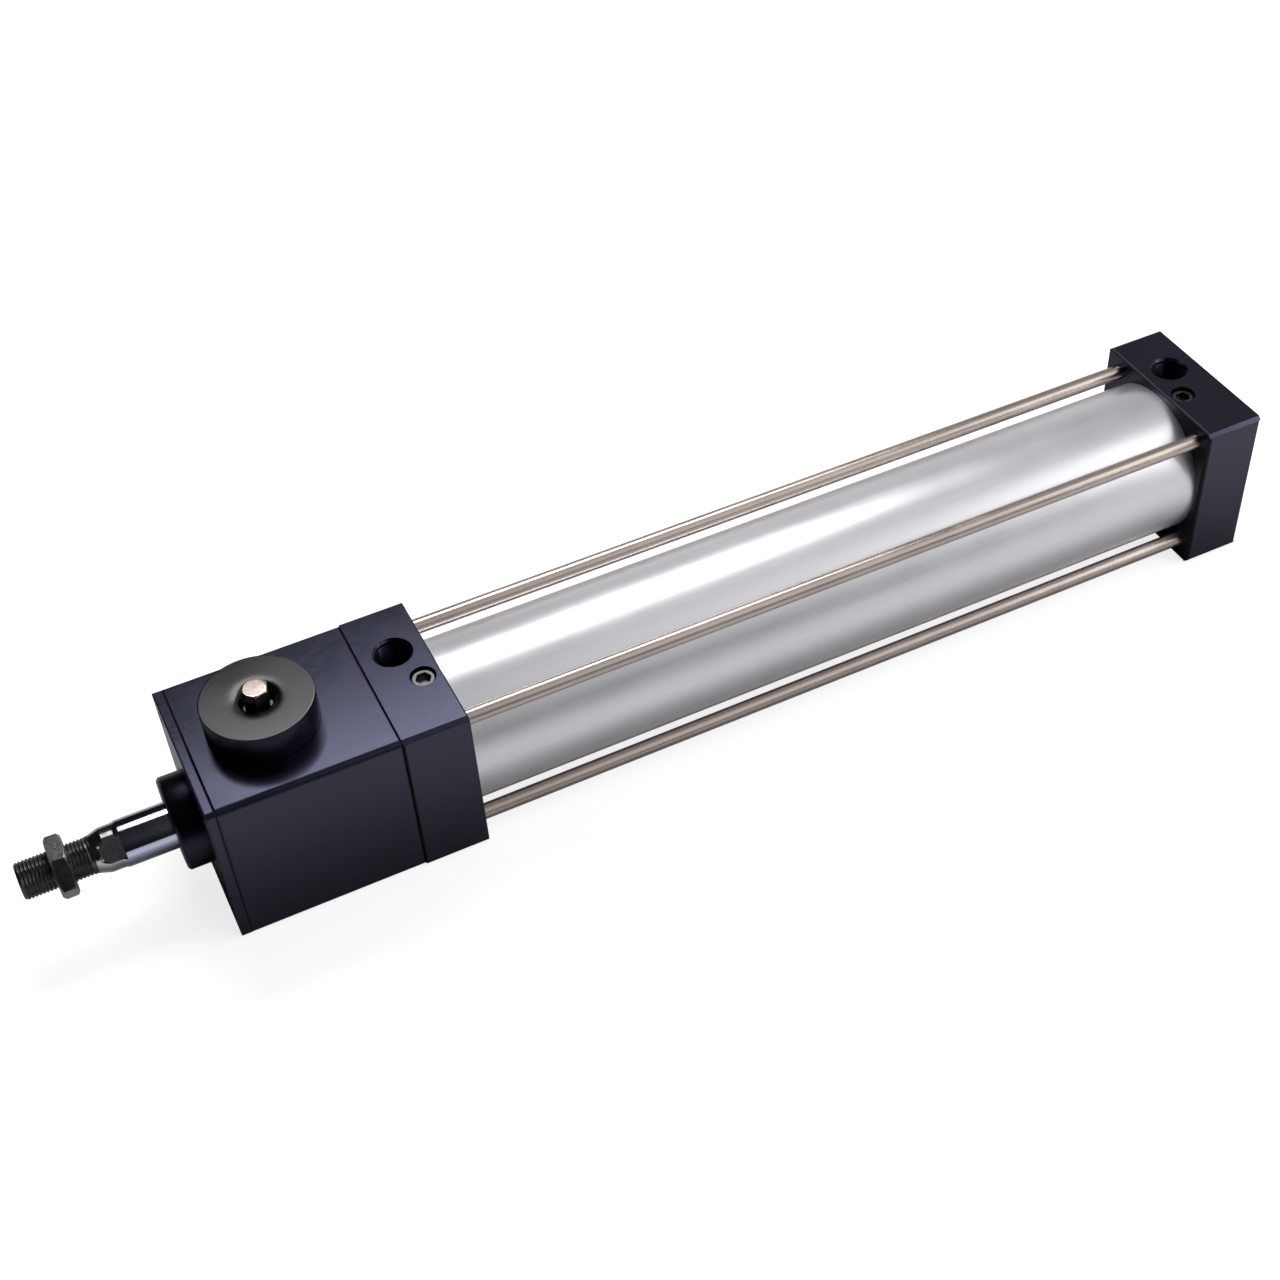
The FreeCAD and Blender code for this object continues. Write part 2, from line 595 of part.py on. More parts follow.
def make_rear_head():
    body = new_body("rear_head", REAR)
    make_head_block(body, "rear_head_len")
    end = "0 - spigot_len + tube_seat"
    spigot = "cylinder_bore_r - seat_gap"
    turn(body, "spigot", [("tube_seat", "0"), ("tube_seat", spigot), (end, spigot), (end, "0")])
    bore(body, "tube_recess", [
        (end, spigot), (end, "cylinder_bore_r + tube_wall + seat_gap"),
        ("tube_seat", "cylinder_bore_r + tube_wall + seat_gap"), ("tube_seat", spigot)])
    groove = end + " + cushion_seal_in"
    wide = CUSHION_R + " + cushion_gap"
    bore(body, "cushion_hole", [
        (end, "0"), (end, wide), (groove, wide), (groove, wide + " + cushion_seal_deep"),
        (groove + " + cushion_seal_len", wide + " + cushion_seal_deep"),
        (groove + " + cushion_seal_len", wide), (end + " + rear_cushion_deep", wide),
        (end + " + rear_cushion_deep", "0")])
    rods = new_sketch(body, "tie_holes", "YZ_Plane")
    corner_circles(rods, "tie_r + tie_hole_gap")
    pocket(body, rods)
    shanks = new_sketch(body, "nut_bores", "YZ_Plane", ("0", "0", "rear_head_len"))
    corner_circles(shanks, "nut_shank_r + seat_gap")
    pocket(body, shanks, "nut_len + open_gap", against=True)
    flanges = new_sketch(body, "nut_seats", "YZ_Plane", ("0", "0", "rear_head_len"))
    corner_circles(flanges, "nut_flange_r + seat_gap")
    pocket(body, flanges, "nut_flange_len", against=True)
    head_openings(body, "rear_head_len / 2", "needle_from_tube", end,
                  less("needle_from_tube", end), True)


def make_needle(end, along):
    """A cushion screw: a threaded head with a hexagon socket, a neck and a blunt needle."""
    body = new_body(end + "_cushion_needle", along, minus("needle_y"))
    top = HALF + " - needle_sunk"
    base = top + " - needle_head_len"
    neck = base + " - needle_neck_len + needle_tip_len"
    tip = neck + " - needle_tip_len"
    turn_up(body, "screw", [
        ("0", tip), ("needle_way_r / 2", tip), ("needle_way_r", neck), ("needle_neck_r", neck),
        ("needle_neck_r", base), ("needle_head_r", base), ("needle_head_r", top), ("0", top)])
    socket = new_sketch(body, "socket", "XY_Plane", ("0", "0", top))
    draw_outline(socket, hex_outline("needle_socket"))
    pocket(body, socket, "needle_socket_deep", against=True)


# Tube, its gaskets and the tie rods with their nuts

def make_tube():
    start = TUBE_FACE + " - tube_seat"
    end = REAR + " + tube_seat"
    outer = "cylinder_bore_r + tube_wall"
    length = less(less(end, start), "gasket_thick * 2")
    rings(new_body("cylinder_tube"), (start + " + gasket_thick", length, "cylinder_bore_r", outer))
    rings(new_body("tube_gaskets"),
          (start, "gasket_thick", "cylinder_bore_r", outer),
          (less(end, "gasket_thick"), "gasket_thick", "cylinder_bore_r", outer))
    wide = CUSHION_R + " + cushion_gap + cushion_seal_deep"
    rings(new_body("cushion_seals"),
          (less(FRONT_SPIGOT, "cushion_seal_in + cushion_seal_len"), "cushion_seal_len",
           CUSHION_R + " + run_gap * 2", wide),
          (REAR_SPIGOT + " + cushion_seal_in", "cushion_seal_len",
           CUSHION_R + " + run_gap * 2", wide))


def make_tie_rods():
    start = "nut_len - nut_grip"
    length = less(REAR_FACE, start + " + " + start)
    places = ((minus(TIE), TIE), (TIE, TIE), (minus(TIE), minus(TIE)), (TIE, minus(TIE)))
    for index, (across, up) in enumerate(places, 1):
        body = new_body("tie_rod_%d" % index, start, across, up)
        turn(body, "rod", [
            ("0", "0"), ("0", "tie_thread_r"), ("tie_thread_len", "tie_thread_r"),
            ("tie_thread_len", "tie_r"), (less(length, "tie_thread_len"), "tie_r"),
            (less(length, "tie_thread_len"), "tie_thread_r"), (length, "tie_thread_r"),
            (length, "0")])


def corner_slots(sketch, wide, long):
    """A slot across each corner's centre, along Y."""
    for across in (TIE, minus(TIE)):
        for up in (TIE, minus(TIE)):
            right, left = across + " + " + long + " / 2", across + " - " + long + " / 2"
            top, base = up + " + " + wide + " / 2", up + " - " + wide + " / 2"
            draw_outline(sketch, [(left, base), (right, base), (right, top), (left, top)])


def make_tie_nuts():
    """Slotted sleeve nuts with flanges, sunk in the cover plate and the rear head."""
    body = new_body("tie_rod_nuts")
    ends = (("front", "0", False), ("rear", REAR_FACE, True))
    for name, place, back in ends:
        for kind, radius, length in (("flanges", "nut_flange_r", "nut_flange_len"),
                                     ("shanks", "nut_shank_r", "nut_len")):
            sketch = new_sketch(body, name + "_" + kind, "YZ_Plane", ("0", "0", place))
            corner_circles(sketch, radius)
            pad(body, sketch, length).Reversed = back
    for name, place, back in ends:
        mouths = new_sketch(body, name + "_mouths", "YZ_Plane", ("0", "0", place))
        corner_circles(mouths, "nut_mouth_r")
        pocket(body, mouths, "nut_len", against=back)
        inner_end = less(place, "nut_len") if back else "nut_len"
        grips = new_sketch(body, name + "_grips", "YZ_Plane", ("0", "0", inner_end))
        corner_circles(grips, "tie_thread_r + seat_gap")
        pocket(body, grips, "nut_grip + open_gap", against=not back)
        slots = new_sketch(body, name + "_slots", "YZ_Plane", ("0", "0", place))
        corner_slots(slots, "nut_slot_wide", "nut_flange_r * 2")
        pocket(body, slots, "nut_slot_deep", against=back)


# Piston rod and what is clamped on its tail

def make_piston_rod():
    body = new_body("piston_rod")
    tip = minus("rod_out")
    thread = tip + " + thread_len"
    sleeve = less(PISTON, "cushion_len")
    tail = PISTON_BACK + " + rear_sleeve_len + tail_nut_len + rod_tip_cut"
    turn(body, "rod", [
        (tip, "0"), (tip, "thread_r - rod_tip_cut"), (tip + " + rod_tip_cut", "thread_r"),
        (thread, "thread_r"), (thread + " + cone_len", "rod_neck_r"),
        (minus("rod_neck_end"), "rod_neck_r"), (minus("rod_neck_end - rod_neck_cone"), "rod_r"),
        (sleeve, "rod_r"),
        (sleeve, ROD_TAIL_R), (less(tail, "rod_tip_cut"), ROD_TAIL_R),
        (tail, ROD_TAIL_R + " - rod_tip_cut"), (tail, "0")])
    flats = new_sketch(body, "flats", "YZ_Plane",
                       ("0", "0", minus("rod_flat_end + rod_flat_len")), -number("rod_flat_turn"))
    half = "rod_flats / 2"
    for side in (str, minus):
        draw_outline(flats, [(side(half), minus("rod_flats")), (side("rod_flats"), minus("rod_flats")),
                             (side("rod_flats"), "rod_flats"), (side(half), "rod_flats")])
    pocket(body, flats, "rod_flat_len")


def make_piston():
    hole = ROD_TAIL_R + " + seat_gap"
    outer = "cylinder_bore_r - piston_gap"
    wear = "ring_space"
    seal = wear + " + wear_ring_len + ring_space"
    body = new_body("piston", PISTON)
    turn(body, "piston", [
        ("0", hole), ("0", outer), (wear, outer), (wear, outer + " - wear_ring_deep"),
        (wear + " + wear_ring_len", outer + " - wear_ring_deep"),
        (wear + " + wear_ring_len", outer), (seal, outer), (seal, outer + " - piston_seal_deep"),
        (seal + " + piston_seal_len", outer + " - piston_seal_deep"),
        (seal + " + piston_seal_len", outer), ("piston_len", outer), ("piston_len", hole)])
    rings(new_body("piston_wear_ring", PISTON),
          (wear, "wear_ring_len", outer + " - wear_ring_deep", "cylinder_bore_r - run_gap"))
    rings(new_body("piston_seal", PISTON),
          (seal, "piston_seal_len", outer + " - piston_seal_deep", "cylinder_bore_r - run_gap"))
    rings(new_body("cushion_sleeves"),
          (less(PISTON, "cushion_len"), "cushion_len", hole, CUSHION_R),
          (PISTON_BACK, "rear_sleeve_len", hole, CUSHION_R))


def make_hex_nut(label, along, flats, length, hole):
    body = new_body(label, along)
    corner = "%s * %s" % (flats, HEX_CORNER)
    face = flats + " / 2 - nut_face_in"
    turn(body, "blank", [
        ("0", hole), ("0", face), ("nut_cut", corner), (length + " - nut_cut", corner),
        (length, face), (length, hole)])
    hex_trim(body, "hexagon", flats, flats, "0", length)


make_front_cover()
make_rod_gland()
make_lock_body()
make_lock_breather()
make_brake_piston()
make_brake_seals()
make_disc_springs()
make_shoe("near")
make_shoe("far")
make_release_cap()
make_release_cam()
make_rod_guides()
make_front_head()
make_rear_head()
make_needle("front", TUBE_FACE + " - needle_from_tube")
make_needle("rear", REAR + " + needle_from_tube")
make_tube()
make_tie_rods()
make_tie_nuts()
make_piston_rod()
make_piston()
make_hex_nut("piston_nut", PISTON_BACK + " + rear_sleeve_len", "tail_nut_flats",
             "tail_nut_len", ROD_TAIL_R + " + seat_gap")
make_hex_nut("rod_jam_nut", "jam_nut_from_tip - rod_out", "jam_nut_flats",
             "jam_nut_len", "thread_r + run_gap")
doc.recompute()

os.makedirs("parts", exist_ok=True)
for item in doc.Objects:
    if "Invalid" in item.State or "Error" in item.State:
        raise RuntimeError("failed: %s %s" % (item.Name, item.State))
bodies = [item for item in doc.Objects if item.TypeId == "PartDesign::Body"]
for item in bodies:
    if item.Shape.isNull() or not item.Shape.isValid():
        raise RuntimeError("bad shape: " + item.Label)
for item in bodies:
    item.Shape.exportStep("parts/%s.step" % item.Label)
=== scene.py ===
import math

import bmesh
import bpy
from bpy.props import FloatProperty, FloatVectorProperty, IntProperty, PointerProperty
from bpy.types import Operator, Panel, PropertyGroup
from mathutils import Matrix, Vector


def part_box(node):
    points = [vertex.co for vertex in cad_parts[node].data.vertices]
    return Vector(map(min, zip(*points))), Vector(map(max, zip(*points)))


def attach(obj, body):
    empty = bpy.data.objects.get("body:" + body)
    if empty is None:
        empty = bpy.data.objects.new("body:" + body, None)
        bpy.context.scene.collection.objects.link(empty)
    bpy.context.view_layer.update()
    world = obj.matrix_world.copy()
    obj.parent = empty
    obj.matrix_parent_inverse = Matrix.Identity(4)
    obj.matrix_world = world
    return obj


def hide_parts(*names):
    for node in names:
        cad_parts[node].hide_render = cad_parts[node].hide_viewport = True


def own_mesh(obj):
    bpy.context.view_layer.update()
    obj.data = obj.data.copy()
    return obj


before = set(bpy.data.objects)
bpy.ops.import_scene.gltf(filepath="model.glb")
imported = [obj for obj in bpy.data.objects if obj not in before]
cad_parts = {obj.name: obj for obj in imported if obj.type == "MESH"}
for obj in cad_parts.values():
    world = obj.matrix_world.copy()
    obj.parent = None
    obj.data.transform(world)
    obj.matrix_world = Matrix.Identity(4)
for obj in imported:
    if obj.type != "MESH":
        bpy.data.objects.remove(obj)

bl_info = {
    "name": "Air cylinder with rod lock",
    "version": (1, 0, 0),
    "blender": (4, 5, 0),
    "location": "View3D > Sidebar > Air cylinder",
    "description": "Dresses the construction frame of an air cylinder with a rod lock",
    "category": "Object",
}

# Edges that turn by more than these are broken, and are shaded as sharp
BROKEN_ABOVE = math.radians(28.0)
SHARP_ABOVE = math.radians(30.0)
# Material slots of a block: its broken edges in a bluer painted highlight, the rear head's inner
# face, and the painted shade on the broken edges at a joint
EDGE_SLOT, INNER_SLOT, JOINT_SHADE_SLOT = 1, 2, 3
# Where the release cap stands along the cylinder
CAP_PLACE = 0.0357
# The ports' places along the cylinder and beside its axis
PORT_PLACES = (("front_port_thread", 0.09525), ("rear_port_thread", 0.482))
PORT_ACROSS = 0.011

# Cool sheen of the black anodised pieces, and the colours of the rod's neck and inner pieces
BLUE_SHEEN = (0.60, 0.62, 1.0)
NECK = (0.62, 0.61, 0.64)
ALUMINIUM = (0.70, 0.70, 0.71)
BRONZE = (0.40, 0.25, 0.11)
RUBBER = (0.018, 0.018, 0.019)
GUIDE_PLASTIC = (0.10, 0.11, 0.13)
LINING = (0.11, 0.085, 0.065)

# The inner nodes that the frame carries over, by their finish
INNER_FINISHES = {
    "nut_steel": ("piston_nut", "near_brake_shoe", "far_brake_shoe"),
    "bright_steel": ("near_brake_rollers", "far_brake_rollers"),
    "plain_aluminium": ("piston", "cushion_sleeves", "brake_piston"),
    "sintered_bronze": ("lock_breather", "rod_bushes"),
    "seal_rubber": (
        "rod_scraper", "lock_rod_seal", "head_rod_seal", "brake_piston_seal",
        "brake_inner_seal", "tube_gaskets", "cushion_seals", "piston_seal"),
    "guide_plastic": ("piston_wear_ring",),
    "brake_lining": ("near_brake_lining", "far_brake_lining"),
}

# Each lamp's place, the way that it faces, its width and its depth
LAMPS = {
    "rear_lamp": ((0.28, 0.38, 0.64), (0.0, 0.0, -1.0), 0.60, 0.36),
    "side_lamp": ((1.05, -0.55, 0.28), (-1.0, 0.0, 0.0), 0.32, 0.62),
    "top_lamp": ((0.88, -0.30, 0.64), (0.0, 0.0, -1.0), 0.25, 0.35),
}

# Where the camera stood, its right, up and back directions, and its lens and sensor in mm
CAMERA_PLACE = Vector((-0.03269485, -0.55678020, 0.60435876))
CAMERA_AXES = (
    Vector((0.89958009, -0.43367122, -0.05181645)),
    Vector((0.33953580, 0.61977379, 0.70752801)),
    Vector((-0.27472006, -0.65407165, 0.70478306)),
)
LENS, SENSOR = 55.1035, 36.0


# Sizes, colours and studio settings

def length(name, description, default):
    """A size in metres."""
    return FloatProperty(name=name, description=description, default=default, min=0.0,
                         precision=5, subtype="DISTANCE", unit="LENGTH")


def colour(name, description, default):
    """A base colour."""
    return FloatVectorProperty(name=name, description=description, default=default,
                               size=3, min=0.0, max=1.0, subtype="COLOR")


class CylinderSizes(PropertyGroup):
    """Small sizes that the frame leaves to the finish."""
    block_edge: length("Block edge", "Width of the long rounded edges of heads and lock", 0.0009)
    rear_edge: length("Rear head edge", "Width of the rounded edges of the rear head", 0.0014)
    face_edge: length("Face edge", "Width of the broken edges where two blocks meet", 0.0008)
    small_edge: length("Small edge", "Width of the broken edges of screws and nuts", 0.00012)
    rod_pitch: length("Rod thread pitch", "Distance between two turns on the rod", 0.0015)
    rod_depth: length("Rod thread depth", "Depth of the rod's thread", 0.00055)
    tie_pitch: length("Tie rod pitch", "Distance between two turns on a tie rod", 0.00125)
    tie_depth: length("Tie rod depth", "Depth of a tie rod's thread", 0.0005)
    port_pitch: length("Port pitch", "Distance between two turns of a port's thread", 0.00134)
    port_depth: length("Port depth", "Height of a port's thread", 0.0004)
    round_steps: IntProperty(name="Round steps", description="Sides of a large turned piece",
                             default=192, min=24, max=512)


class CylinderColours(PropertyGroup):
    """Finishes of the outer pieces."""
    black: colour("Black", "Black anodised heads and lock", (0.0024, 0.0027, 0.0052))
    # The bluer colour of the rounded edges is a painted highlight
    black_edge: colour("Black edges", "Rounded edges of the blocks", (0.0024, 0.0028, 0.0090))
    # The cap's black is also the painted shade on the broken edges at a joint
    cap_black: colour("Cap", "Black turned release cap", (0.0030, 0.0030, 0.0034))
    tube: colour("Tube", "Clear anodised tube", (0.86, 0.86, 0.905))
    tie: colour("Tie rods", "Drawn steel of the tie rods", (0.540, 0.470, 0.425))
    nut: colour("Nuts", "Steel of the nuts", (0.300, 0.285, 0.290))
    thread: colour("Thread", "Dull steel of the rod's thread", (0.115, 0.110, 0.107))
    chrome: colour("Chrome", "Chromed rod", (0.660, 0.680, 0.880))
    bright: colour("Bright steel", "Hexagon post and rollers", (0.600, 0.500, 0.465))
    screw: colour("Screws", "Steel of the cushion screws", (0.130, 0.126, 0.123))


class StudioSettings(PropertyGroup):
    """Floor, lamps and sky."""
    floor_wide: length("Floor", "Width of the floor", 6.0)
    floor_shade: colour("Floor colour", "Colour of the floor", (0.62, 0.62, 0.62))
    rear_lamp: FloatProperty(name="Rear lamp", description="Long lamp above and behind the tube",
                             default=3.4, min=0.0, subtype="POWER", unit="POWER")
    side_lamp: FloatProperty(name="Side lamp", description="Tall lamp to the near right",
                             default=2.6, min=0.0, subtype="POWER", unit="POWER")
    top_lamp: FloatProperty(name="Top lamp", description="Small lamp above the rear head",
                            default=0.35, min=0.0, subtype="POWER", unit="POWER")
    far_sky: FloatProperty(name="Far sky", description="Strength of the backdrop behind",
                           default=0.60, min=0.0, max=1.0)
    near_sky: FloatProperty(name="Near sky", description="Strength of the room on the near right",
                            default=0.95, min=0.0, max=1.0)


# Nodes and shared effects

def add_node(tree, kind, inputs=None, **settings):
    """Adds a node. inputs gives each socket a value or the output that feeds it."""
    node = tree.nodes.new(kind)
    for name, value in settings.items():
        setattr(node, name, value)
    for name, value in (inputs or {}).items():
        if isinstance(value, bpy.types.NodeSocket):
            tree.links.new(value, node.inputs[name])
        else:
            node.inputs[name].default_value = value
    return node


def add_math(tree, operation, first, second=0.0):
    """Adds a Math node and returns its result."""
    return add_node(tree, "ShaderNodeMath", {0: first, 1: second}, operation=operation).outputs[0]


def add_range(tree, value, low, high, new_low, new_high):
    """Brings a value from one range to another and keeps it inside."""
    node = add_node(tree, "ShaderNodeMapRange", {
        "Value": value, "From Min": low, "From Max": high, "To Min": new_low, "To Max": new_high})
    return node.outputs["Result"]


def new_group(name, inputs, outputs):
    """A shader node group with named sockets. Returns its tree, inputs and output node."""
    tree = bpy.data.node_groups.new(name, "ShaderNodeTree")
    for label, kind, default in inputs:
        socket = tree.interface.new_socket(label, in_out="INPUT", socket_type="NodeSocket" + kind)
        if default is not None:
            socket.default_value = default
    for label, kind in outputs:
        tree.interface.new_socket(label, in_out="OUTPUT", socket_type="NodeSocket" + kind)
    return tree, tree.nodes.new("NodeGroupInput").outputs, tree.nodes.new("NodeGroupOutput")


def finish_group(tree, end, results):
    """Joins the results to the sockets of the group's output node."""
    for name, socket in results.items():
        tree.links.new(socket, end.inputs[name])


def grain_group():
    """Fine grain of a machined and anodised surface, stretched along one direction."""
    tree, given, end = new_group(
        "Fine grain",
        [("Position", "Vector", None), ("Stretch", "Vector", (1.0, 1.0, 1.0)),
         ("Scale", "Float", 900.0)],
        [("Shade", "Float"), ("Cloud", "Float")])
    scaled = add_node(tree, "ShaderNodeVectorMath", {0: given["Position"], 1: given["Stretch"]},
                      operation="MULTIPLY").outputs["Vector"]
    fine = add_node(tree, "ShaderNodeTexNoise", {
        "Vector": scaled, "Scale": given["Scale"], "Detail": 3.0, "Roughness": 0.6})
    wide = add_node(tree, "ShaderNodeTexNoise", {
        "Vector": given["Position"], "Scale": 45.0, "Detail": 4.0, "Roughness": 0.55})
    finish_group(tree, end, {"Shade": fine.outputs["Fac"], "Cloud": wide.outputs["Fac"]})


def turning_group():
    """Marks that a lathe leaves round the X axis of the position that it is given."""
    tree, given, end = new_group(
        "Turning marks", [("Position", "Vector", None), ("Pitch", "Float", 0.00015)],
        [("Shade", "Float")])
    parts = add_node(tree, "ShaderNodeSeparateXYZ", {0: given["Position"]})
    across = add_math(tree, "MULTIPLY", parts.outputs["Y"], parts.outputs["Y"])
    upward = add_math(tree, "MULTIPLY", parts.outputs["Z"], parts.outputs["Z"])
    radius = add_math(tree, "SQRT", add_math(tree, "ADD", across, upward))
    place = add_node(tree, "ShaderNodeCombineXYZ", {
        "X": add_math(tree, "DIVIDE", parts.outputs["X"], given["Pitch"]),
        "Y": add_math(tree, "DIVIDE", radius, given["Pitch"])})
    marks = add_node(tree, "ShaderNodeTexNoise", {
        "Vector": place.outputs[0], "Scale": 1.0, "Detail": 2.0, "Roughness": 0.5},
        noise_dimensions="2D")
    finish_group(tree, end, {"Shade": marks.outputs["Fac"]})


def scuff_group():
    """Sparse small scuffs and dust: 0 where the surface is clean, 1 in a mark."""
    share, contrast = 0.35, 14.0
    tree, given, end = new_group(
        "Scuffs", [("Position", "Vector", None), ("Scale", "Float", 260.0),
                   ("Spread", "Float", 0.68)],
        [("Mask", "Float")])
    streaks = add_node(tree, "ShaderNodeTexNoise", {
        "Vector": given["Position"], "Scale": given["Scale"], "Detail": 5.0,
        "Roughness": 0.7, "Distortion": 0.6})
    patches = add_node(tree, "ShaderNodeTexNoise", {
        "Vector": given["Position"], "Scale": 38.0, "Detail": 2.0})
    weak = add_math(tree, "MULTIPLY", patches.outputs["Fac"], share)
    around = add_math(tree, "SUBTRACT", weak, share / 2)
    level = add_math(tree, "ADD", streaks.outputs["Fac"], around)
    above = add_math(tree, "SUBTRACT", level, given["Spread"])
    mask = add_node(tree, "ShaderNodeClamp", {
        "Value": add_math(tree, "MULTIPLY", above, contrast)})
    finish_group(tree, end, {"Mask": mask.outputs[0]})


def place_group(tree, name, inputs):
    """Places a node group in a material and returns its outputs."""
    group = bpy.data.node_groups[name]
    return add_node(tree, "ShaderNodeGroup", inputs, node_tree=group).outputs


def surface(name, base, metallic, rough, grain=(1.0, 1.0, 1.0), turned=None, scuffs=0.0,
            shade=0.25, bump=0.12, axis="X", centre=(0.0, 0.0, 0.0), specular=0.5,
            anisotropic=0.0, tint=(1.0, 1.0, 1.0)):
    """A material with its own grain or turning marks, and wear in colour and roughness.

    base is the colour, rough the least and most roughness, and shade how far the colour varies.
    grain stretches the grain along each axis. turned is the distance between two turning marks,
    which run round axis, X or Z, through centre.
    """
    base = tuple(base)
    low, high = 0.35, 0.65  # Nearly all of the noise lies between these
    material = bpy.data.materials.new(name + "_finish")
    material.use_nodes = True
    tree = material.node_tree
    shader = tree.nodes["Principled BSDF"]
    shader.inputs["Metallic"].default_value = metallic
    shader.inputs["Specular IOR Level"].default_value = specular
    shader.inputs["Specular Tint"].default_value = (*tint, 1.0)
    shader.inputs["Anisotropic"].default_value = anisotropic
    material.diffuse_color = (*base, 1.0)
    spot = add_node(tree, "ShaderNodeTexCoord").outputs["Object"]
    turn = (0.0, math.pi / 2, 0.0) if axis == "Z" else (0.0, 0.0, 0.0)
    moved = add_node(tree, "ShaderNodeVectorMath", {0: spot, 1: centre}, operation="SUBTRACT")
    aligned = add_node(tree, "ShaderNodeMapping", {"Vector": moved.outputs[0], "Rotation": turn})
    clouds = place_group(tree, "Fine grain", {"Position": spot, "Stretch": grain})
    marks = clouds["Shade"]
    if turned:
        marks = place_group(tree, "Turning marks", {
            "Position": aligned.outputs[0], "Pitch": turned})["Shade"]
    mixed = add_math(tree, "ADD", add_math(tree, "MULTIPLY", marks, 0.5),
                     add_math(tree, "MULTIPLY", clouds["Cloud"], 0.5))
    spread = add_range(tree, mixed, low, high, 0.0, 1.0)
    dark = tuple(part * (1.0 - shade) for part in base) + (1.0,)
    light = tuple(min(1.0, part * (1.0 + shade)) for part in base) + (1.0,)
    shown = add_node(tree, "ShaderNodeMix", {"Factor": spread, "A": dark, "B": light},
                     data_type="RGBA").outputs[2]
    rough_out = add_range(tree, mixed, low, high, *rough)
    if scuffs:
        mask = place_group(tree, "Scuffs", {"Position": spot})["Mask"]
        amount = add_math(tree, "MULTIPLY", mask, scuffs)
        dusty = tuple(part * 0.8 + 0.08 for part in base) + (1.0,)
        shown = add_node(tree, "ShaderNodeMix", {"Factor": amount, "A": shown, "B": dusty},
                         data_type="RGBA").outputs[2]
        rough_out = add_math(tree, "ADD", rough_out, add_math(tree, "MULTIPLY", amount, 0.2))
    tree.links.new(shown, shader.inputs["Base Color"])
    tree.links.new(rough_out, shader.inputs["Roughness"])
    relief = add_node(tree, "ShaderNodeBump", {
        "Strength": bump, "Distance": 0.0001, "Height": marks})
    tree.links.new(relief.outputs[0], shader.inputs["Normal"])
    if anisotropic:
        ring = add_node(tree, "ShaderNodeTangent", direction_type="RADIAL", axis=axis)
        tree.links.new(ring.outputs[0], shader.inputs["Tangent"])


def finish(name):
    """The finish of that name. The frame's own materials have the plain names."""
    return bpy.data.materials[name + "_finish"]


def make_materials(scene):
    """Makes every finish of the cylinder."""
    shades = scene.cylinder_colours
    grain_group()
    turning_group()
    scuff_group()
    surface("black_anodised", shades.black, 0.0, (0.17, 0.24), grain=(0.25, 1.0, 0.6),
            scuffs=0.16, shade=0.18, bump=0.07, specular=0.78, tint=BLUE_SHEEN)
    # Painted highlight: a bluer copy of the black on the rounded edges of the blocks
    surface("black_edges", shades.black_edge, 0.0, (0.26, 0.36), grain=(0.2, 1.0, 1.0),
            shade=0.3, bump=0.08, specular=0.62, tint=BLUE_SHEEN)
    # Painted shade: a dull dark black on the broken edges at a joint, where the gap between two
    # blocks lies in shade
    surface("joint_black", shades.cap_black, 0.0, (0.40, 0.50), specular=0.2)
    surface("black_turned", shades.black, 0.0, (0.26, 0.36), turned=0.00012, bump=0.16,
            specular=0.45, tint=BLUE_SHEEN)
    surface("cap_black", shades.cap_black, 0.0, (0.17, 0.24), turned=0.00014, shade=0.2,
            bump=0.05, axis="Z", centre=(CAP_PLACE, 0.0, 0.0), anisotropic=0.3, specular=0.6)
    surface("clear_anodised", shades.tube, 0.8, (0.30, 0.36), grain=(0.02, 1.0, 1.0),
            shade=0.035, bump=0.05)
    surface("tie_steel", shades.tie, 1.0, (0.20, 0.32), grain=(0.03, 1.0, 1.0), shade=0.10,
            bump=0.10)
    surface("nut_steel", shades.nut, 1.0, (0.15, 0.24), shade=0.2)
    surface("thread_steel", shades.thread, 0.9, (0.22, 0.36), shade=0.35, bump=0.15)
    surface("neck_steel", NECK, 1.0, (0.12, 0.22), turned=0.0002, shade=0.2, bump=0.05)
    surface("chromed_steel", shades.chrome, 1.0, (0.09, 0.14), turned=0.00008, shade=0.03,
            bump=0.02)
    surface("bright_steel", shades.bright, 1.0, (0.10, 0.18), shade=0.08, bump=0.05)
    surface("screw_steel", shades.screw, 1.0, (0.22, 0.34), shade=0.15, bump=0.08)
    surface("plain_aluminium", ALUMINIUM, 1.0, (0.22, 0.34), turned=0.0002, shade=0.08,
            bump=0.14)
    surface("sintered_bronze", BRONZE, 0.9, (0.40, 0.60), shade=0.35, bump=0.5)
    surface("seal_rubber", RUBBER, 0.0, (0.45, 0.60), bump=0.2)
    surface("guide_plastic", GUIDE_PLASTIC, 0.0, (0.35, 0.50), turned=0.0002, shade=0.15,
            bump=0.15)
    surface("brake_lining", LINING, 0.0, (0.60, 0.85), shade=0.45, bump=0.6)


# Meshes and pieces

def turned_mesh(name, profile, steps, closed=False, shape=None):
    """A mesh turned about X from (along, radius) pairs; a radius of 0 ends on the axis.

    shape, if given, takes along, angle and radius and returns the radius at that angle.
    """
    form = bmesh.new()
    rings = []
    for along, radius in profile:
        if radius == 0.0:
            rings.append([form.verts.new((along, 0.0, 0.0))])
            continue
        ring = []
        for step in range(steps):
            angle = math.tau * step / steps
            out = shape(along, angle, radius) if shape else radius
            ring.append(form.verts.new((along, out * math.cos(angle), out * math.sin(angle))))
        rings.append(ring)
    following = rings[1:] + rings[:1] if closed else rings[1:]
    for ring, after in zip(rings, following):
        for step in range(steps):
            ahead = (step + 1) % steps
            if len(ring) == 1:
                form.faces.new((ring[0], after[step], after[ahead]))
            elif len(after) == 1:
                form.faces.new((ring[step], after[0], ring[ahead]))
            else:
                form.faces.new((ring[step], after[step], after[ahead], ring[ahead]))
    bmesh.ops.recalc_face_normals(form, faces=form.faces)
    return to_mesh(form, name)


